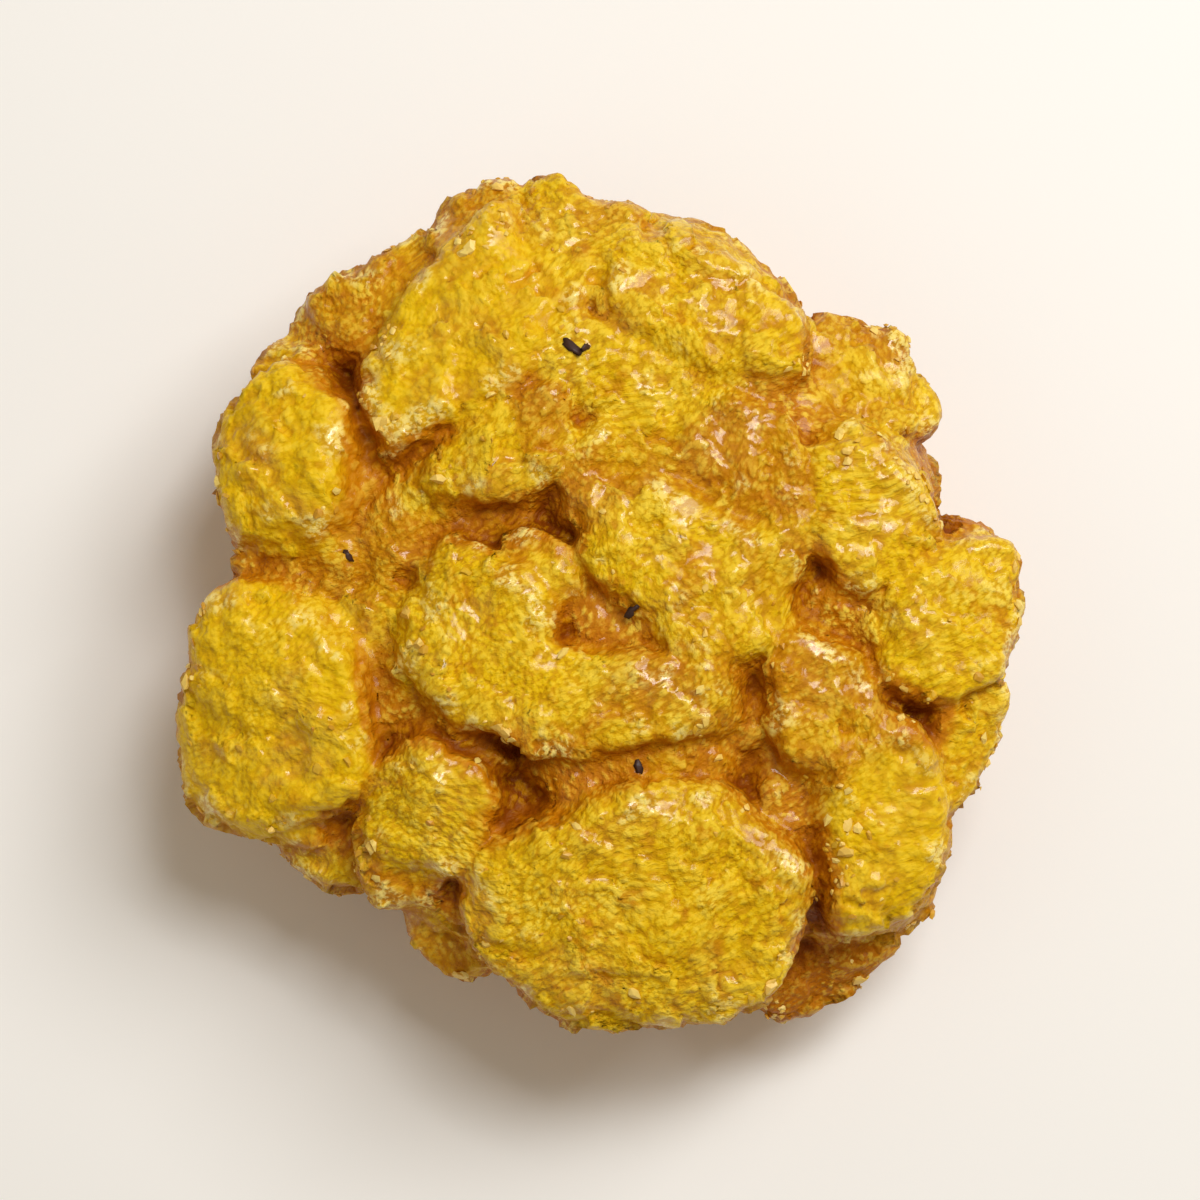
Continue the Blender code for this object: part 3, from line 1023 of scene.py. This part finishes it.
    def puff_of_each(self, points: np.ndarray) -> tuple[np.ndarray, np.ndarray]:
        """The number of the puff that each point belongs to, and how near it is to a seam."""
        roundness = self.puff_roundness
        unwarped = points - self.form.drift(points)
        closeness = np.stack(
            [
                (np.abs(puff.local(unwarped)) ** roundness).sum(axis=1) ** (1 / roundness)
                for puff in self.form.puffs
            ]
        )
        order = np.argsort(closeness, axis=0)
        everyone = np.arange(len(points))
        gap = closeness[order[1], everyone] - closeness[order[0], everyone]
        return order[0], 1 - smoothstep(0.0, self.seam_width, gap)

    def tempers(self) -> tuple[np.ndarray, np.ndarray]:
        """How golden and how smooth each puff came out."""
        draw = random.Random(self.seed)
        tints = np.array([draw.random() for _ in self.form.puffs])
        smooths = np.zeros(len(tints))
        for number, (name, *_) in enumerate(UPPER_PUFFS, start=1):
            if name in BRIGHT_PUFFS:
                tints[number] *= self.bright_tint
            smooths[number] = name in SMOOTH_PUFFS
        return tints, smooths

    def side_crust_and_shade(self, points: np.ndarray, ups: np.ndarray) -> np.ndarray:
        """Where the side is browner, toasted crust with painted shade: below the rim and on steep outline
        walls.

        Args:
            points: The skin's points.
            ups: How far the skin faces up at each, with small bumps left out.

        Returns:
            The mask, 0 to 1.
        """
        below_rim = 1 - smoothstep(*self.belt_top_step, points[:, 2])
        above_foot = smoothstep(*self.belt_foot_step, points[:, 2])
        low = below_rim * (self.belt_foot_share + (1 - self.belt_foot_share) * above_foot)
        out = np.linalg.norm(points[:, :2] / (self.form.breadth / 2), axis=1)
        steep = 1 - smoothstep(*self.wall_up_step, ups)
        return np.maximum(low, self.wall_share * smoothstep(*self.wall_out_step, out) * steep)

    def studied(self, points: np.ndarray, triangles: np.ndarray) -> SkinPoints:
        """Finds creases, rims, flanks and sides, and how the puff of each point came out."""
        normals = self.normals(points, triangles)
        nearest, seam = self.puff_of_each(points)
        closed = self.blurred(self.shade(points, triangles, normals), triangles, self.shade_blur)
        hollow = ((self.blurred(points, triangles, self.hollow_blur) - points) * normals).sum(axis=1)
        # Crease mask from closed-off sky, cavity, seams and bare core: the creases' colour and painted
        # shade.
        by_shade, by_hollow, by_seam, by_core = self.crease_weights
        crease = by_shade * closed + by_hollow * hollow + by_seam * seam + by_core * (nearest == 0)
        crease = self.blurred(np.clip(crease, 0, 1), triangles, self.crease_blur)

        tints, smooths = self.tempers()
        tint = self.blurred(tints[nearest], triangles, self.tint_blur)
        smooth = self.blurred(smooths[nearest], triangles, self.smooth_blur)

        # Painted shade on flanks turned away and near creases, with the seams between puffs.
        half = np.array([self.form.breadth, self.form.breadth, self.form.thickness]) / 2
        outward = (points - [0, 0, half[2]]) / half**2
        outward /= np.linalg.norm(outward, axis=1)[:, None]
        broad = self.blurred(normals, triangles, self.broad_blur)
        flank = 1 - smoothstep(*self.flank_step, (broad * outward).sum(axis=1))
        near = self.blurred(closed, triangles, self.near_blur)
        wide = smoothstep(*self.wide_step, self.blurred(near, triangles, self.wide_blur))
        seams = self.blurred(seam, triangles, self.seam_blur)
        by_flank, by_near, by_wide, by_seams = self.halo_weights
        halo_shade = by_flank * flank + by_near * near + by_wide * wide + by_seams * seams
        return SkinPoints(
            points=points,
            normals=normals,
            crease=crease,
            rim=smoothstep(*self.rim_step, -hollow),
            tint=tint,
            halo_shade=np.clip(halo_shade, 0, 1),
            side_crust_and_shade=self.side_crust_and_shade(points, broad[:, 2]),
            smooth=smooth,
        )

    def flake(self, spot: Vector) -> float:
        """The height of the broken flake at a place: each is a small plane with its own tilt."""
        drift_size = self.flake_drift_share * self.flake_size
        drifted = spot + self.flake_drift * noise.noise_vector(spot / drift_size)
        middle = noise.voronoi(drifted / self.flake_size)[1][0]
        own = noise.cell_vector(middle * self.flake_stride)
        away = drifted - middle * self.flake_size
        return self.flake_tilt * own.dot(away) + self.flake_step * (own.x + own.y - self.flake_middle)

    def relief(self, skin: SkinPoints) -> np.ndarray:
        """The height of the flakes, crags and blisters at each point."""
        heights = np.zeros(len(skin.points))
        for number, point in enumerate(skin.points):
            spot = Vector(point)
            ridge = noise.ridged_multi_fractal(spot / self.crag_size, *self.crag_pattern)
            crag = ridge - self.crag_middle
            blister = self.blister_middle - noise.voronoi(spot / self.blister_size)[0][0]
            heights[number] = self.flake(spot) + self.crag_depth * crag + self.blister_depth * blister
        return heights

    def fitted(self, points: np.ndarray, heights: np.ndarray, skin: SkinPoints) -> np.ndarray:
        """Raises the relief on the skin, and puts it at the solid's size and place."""
        low, high = (np.array(corner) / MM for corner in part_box(NODE))
        own_low, own_high = points.min(axis=0), points.max(axis=0)
        scale = (high[0] - low[0]) / (own_high[0] - own_low[0])
        shift = ((low + high) / 2 - scale * (own_low + own_high) / 2) * np.array([1, 1, 0])
        gritty = 1 - smoothstep(*self.smooth_crease_step, skin.crease)
        shares = self.smooth_relief + (1 - self.smooth_relief) * gritty
        moved = (points + skin.normals * (heights * shares)[:, None]) * scale + shift
        moved[:, 2] = np.maximum(moved[:, 2], 0.0)
        return moved

    def build(self) -> bpy.types.Object:
        """Builds the skin and its point attributes."""
        points, triangles = self.largest_shell(*self.fused())
        skin = self.studied(points, triangles)
        heights = self.relief(skin)
        moved = self.fitted(points, heights, skin)
        skin.relief = smoothstep(*np.percentile(heights, self.relief_percentiles), heights)
        skin.points = moved
        skin.normals = self.normals(moved, triangles)
        data = mesh_from_arrays("cracker_skin", moved, triangles)
        for name in ("crease", "relief", "tint", "side_crust_and_shade", "halo_shade", "rim", "smooth"):
            store(data, name, getattr(skin, name))
        data.materials.append(self.finish.material())
        obj = put_in_scene("cracker_skin", data)
        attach(obj, BODY)
        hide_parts(NODE)
        self.skin = skin
        LOG.info("cracker_skin: %d triangles", len(triangles))
        return obj


@dataclass
class Chips:
    """Small bits of one kind, stuck to the skin as one piece.

    Each spot is a place on the skin, the normal there, the bit's sizes and its turn.
    """

    name: str
    kind: Crumbs
    seed: int
    sink: float = 0.35
    length_bias: float = 2.2
    width_shares: Range = (0.5, 0.9)
    height_shares: Range = (0.3, 0.5)
    corner_reaches: Range = (0.45, 1.35)
    spots: list[tuple[Vector, Vector, Vector, float]] = field(default_factory=list)

    def scatter(self, skin: SkinPoints, weights: np.ndarray, count: int, lengths: Range) -> None:
        """Draws spots on the skin.

        Args:
            skin: The skin's points.
            weights: How likely each point is.
            count: How many to draw.
            lengths: The smallest and the largest length.
        """
        shortest, longest = lengths
        draw = np.random.default_rng(self.seed)
        chosen = draw.choice(len(weights), count, replace=False, p=weights / weights.sum())
        rolls = random.Random(self.seed)
        for number in chosen:
            length = shortest + (longest - shortest) * rolls.random() ** self.length_bias
            width = length * rolls.uniform(*self.width_shares)
            shape = Vector((length, width, length * rolls.uniform(*self.height_shares)))
            place, normal = Vector(skin.points[number]), Vector(skin.normals[number])
            self.spots.append((place, normal, shape, rolls.uniform(0, math.tau)))

    def build(self) -> bpy.types.Object:
        """Makes all bits as one mesh."""
        angular = self.kind is not Crumbs.BURNT
        directions, faces = unit_ball(1 if angular else 2)
        rolls = np.random.default_rng(self.seed + 1)
        points, triangles, tints = [], [], []
        for number, (spot, normal, shape, turn) in enumerate(self.spots):
            ball = directions * rolls.uniform(*self.corner_reaches, (len(directions), 1))
            upright = normal.to_track_quat("Z", "Y").to_matrix() @ Matrix.Rotation(turn, 3, "Z")
            body = (ball * np.array(shape) / 2) @ np.array(upright).T
            raised = np.array(spot + normal * shape.z * (0.5 - self.sink))
            points.append(body + raised)
            triangles.append(faces + number * len(directions))
            tints.append(np.full(len(directions), rolls.random()))
        data = mesh_from_arrays(self.name, np.concatenate(points), np.concatenate(triangles))
        store(data, "tint", np.concatenate(tints))
        data.materials.append(self.kind.value.material())
        if angular:
            data.shade_flat()
        obj = put_in_scene(self.name, data)
        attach(obj, BODY)
        LOG.info("%s: %d bits, %d triangles", self.name, len(self.spots), len(data.polygons))
        return obj


@dataclass
class Toppings:
    """All that clings to the dough: crumbs in clusters, and single burnt specks."""

    cluster_width: float = 4.0
    cluster_step: Range = (0.0, 0.35)
    crease_step: Range = (0.3, 0.6)
    floor_step: Range = (0.4, 1.2)
    pale_count: int = 300
    pale_lengths: Range = (0.3, 1.0)
    golden_count: int = 500
    golden_lengths: Range = (0.3, 0.7)
    golden_off_rim: float = 0.1
    golden_off_cluster: float = 0.2
    speck_sink: float = 0.45
    speck_reach: float = 0.25
    speck_height_share: float = 0.5

    def crumbs(self, skin: SkinPoints) -> None:
        """The pale and the golden crumbs, thickest on the rims of the puffs."""
        clouds = [noise.noise(Vector(point) / self.cluster_width) for point in skin.points]
        clusters = smoothstep(*self.cluster_step, np.array(clouds))
        clear_of_floor = smoothstep(*self.floor_step, skin.points[:, 2])
        on_puffs = 1 - smoothstep(*self.crease_step, skin.crease)

        pale = Chips("pale_crumbs", Crumbs.PALE, seed=31)
        weights = skin.rim**2 * clusters * on_puffs * clear_of_floor
        pale.scatter(skin, weights, self.pale_count, self.pale_lengths)
        pale.build()

        golden = Chips("golden_crumbs", Crumbs.GOLDEN, seed=47)
        weights = (self.golden_off_rim + skin.rim) * (self.golden_off_cluster + clusters)
        golden.scatter(skin, weights * clear_of_floor, self.golden_count, self.golden_lengths)
        golden.build()

    def specks(self, skin: SkinPoints) -> None:
        """The burnt specks, each on the highest skin at its place."""
        burnt = Chips("burnt_specks", Crumbs.BURNT, seed=61, sink=self.speck_sink)
        for x, y, length, width, turn in BURNT_SPECKS:
            away = np.hypot(skin.points[:, 0] - x, skin.points[:, 1] - y)
            near = np.where(away < self.speck_reach)[0]
            best = near[skin.points[near, 2].argmax()]
            shape = Vector((length, width, self.speck_height_share * width))
            place, normal = Vector(skin.points[best]), Vector(skin.normals[best])
            burnt.spots.append((place, normal, shape, math.radians(turn)))
        burnt.build()


@dataclass(frozen=True)
class Lamp:
    """A square soft light: its size, power and colour, and where it stands round the cracker."""

    name: str
    size: float
    energy: float
    colour: tuple[float, float, float]
    around_deg: float
    elevation_deg: float
    distance: float


@dataclass
class Studio:
    """A pale floor, soft light and the camera, in metres."""

    floor_size: float = 3.0
    camera_around_deg: float = -90.0
    camera_elevation_deg: float = 86.0
    lens: float = 150.0
    frame_width: float = 0.066
    clip_start: float = 0.01
    look_at: tuple[float, float, float] = (0.0, 0.0, 0.009)
    sky_colour: Colour = (1.0, 0.87, 0.68, 1.0)
    sky_strength: float = 0.3
    lamps: tuple[Lamp, ...] = (
        Lamp("key", 0.25, 1.3, (1.0, 1.0, 1.0), 40, 48, 0.5),
        Lamp("glint", 0.14, 0.8, (1.0, 1.0, 1.0), 60, 66, 0.5),
        Lamp("fill", 0.5, 0.25, (1.0, 0.9, 0.74), 200, 45, 0.7),
    )

    def floor(self) -> bpy.types.Object:
        """The floor that the cracker rests on."""
        half = self.floor_size / 2 / MM
        corners = np.array([(-half, -half, 0), (half, -half, 0), (half, half, 0), (-half, half, 0)])
        triangles = np.array([(0, 1, 2), (0, 2, 3)])
        data = mesh_from_arrays("floor", corners.astype(float), triangles)
        data.materials.append(FloorFinish().material())
        obj = put_in_scene("floor", data)
        return obj

    def aim(self, obj: bpy.types.Object, around_deg: float, elevation_deg: float, far: float) -> None:
        """Moves a lamp or the camera to its place round the cracker, turned towards it."""
        elevation = math.radians(elevation_deg)
        away = polar(math.radians(around_deg), math.cos(elevation), math.sin(elevation))
        obj.location = Vector(self.look_at) + away * far
        obj.rotation_euler = away.to_track_quat("Z", "Y").to_euler()

    def light(self, lamp: Lamp) -> bpy.types.Object:
        """Sets up one lamp."""
        data = bpy.data.lights.new(lamp.name, "AREA")
        data.size = lamp.size
        data.energy = lamp.energy
        data.color = lamp.colour
        obj = put_in_scene(lamp.name, data)
        self.aim(obj, lamp.around_deg, lamp.elevation_deg, lamp.distance)
        return obj

    def world(self) -> None:
        """An even pale sky that fills the shadows."""
        sky = bpy.data.worlds.new("studio_sky")
        sky.use_nodes = True
        background = sky.node_tree.nodes["Background"]
        background.inputs["Color"].default_value = self.sky_colour
        background.inputs["Strength"].default_value = self.sky_strength
        bpy.context.scene.world = sky

    def camera(self) -> bpy.types.Object:
        """The camera, looking almost straight down."""
        data = bpy.data.cameras.new("camera")
        data.lens = self.lens
        data.clip_start = self.clip_start
        obj = put_in_scene("camera", data)
        distance = self.frame_width * self.lens / data.sensor_width
        self.aim(obj, self.camera_around_deg, self.camera_elevation_deg, distance)
        bpy.context.scene.camera = obj
        return obj

    def build(self) -> None:
        """Sets up the whole studio."""
        self.floor()
        for lamp in self.lamps:
            self.light(lamp)
        self.world()
        self.camera()
        bpy.context.scene.view_settings.view_transform = "Standard"
        LOG.info("studio: floor, lights and camera")


def main() -> None:
    """Builds the skin, the bits on it and the studio, in that order."""
    logging.basicConfig(level=logging.INFO, format="%(name)s: %(message)s")
    cracker = CrackerSkin(CrackerForm(), DoughFinish())
    cracker.build()
    toppings = Toppings()
    toppings.crumbs(cracker.skin)
    toppings.specks(cracker.skin)
    Studio().build()
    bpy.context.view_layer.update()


if __name__ == "__main__":
    main()
